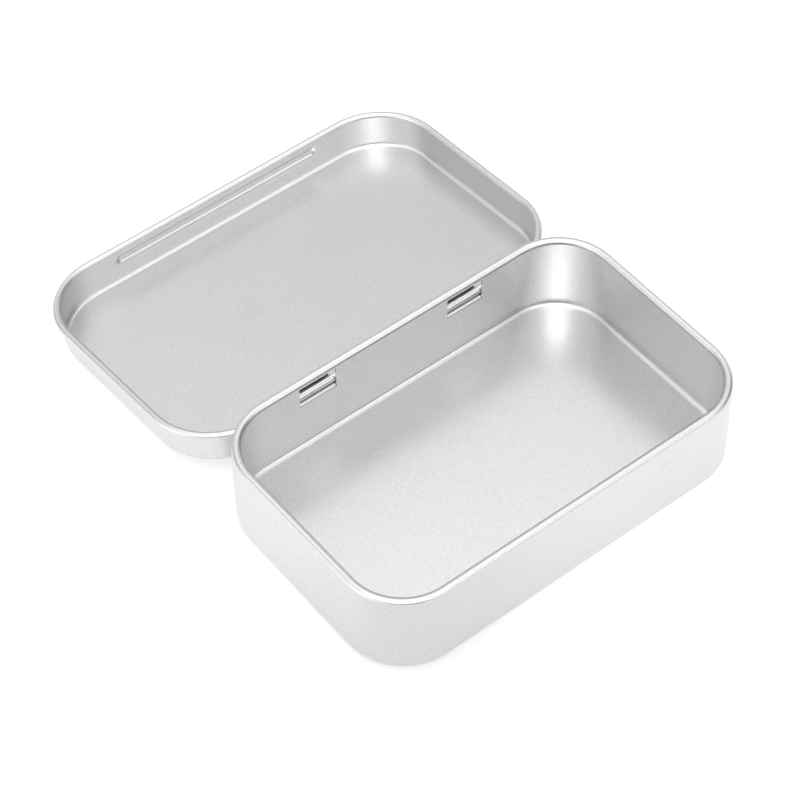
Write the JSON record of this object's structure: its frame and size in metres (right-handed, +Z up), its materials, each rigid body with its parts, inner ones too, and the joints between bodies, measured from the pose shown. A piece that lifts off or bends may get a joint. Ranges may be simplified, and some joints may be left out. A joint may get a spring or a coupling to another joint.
{
  "type": "hinged tin box",
  "caption": "Small open tin box with rounded corners, rolled rims and a slip-over lid on two rolled sheet-metal knuckles.",
  "frame": {"origin": "middle of the tray's flat foot, on the surface that it stands on", "axes": "+X along the hinge, +Y from the front to the hinge and the open lid, +Z up out of the tray"},
  "size_m": [0.0988, 0.1241, 0.0216],
  "materials": {
    "tinplate": "satin bare tinplate"
  },
  "bodies": {
    "base": {"base": "tinplate"},
    "lid": {"lid": "tinplate"}
  },
  "joints": [
    {"name": "lid_hinge", "type": "hinge", "parent": "base", "child": "lid", "pos_m": [0, 0.031, 0.01385], "axis": [1, 0, 0], "range_deg": [0, 185.42]}
  ]
}
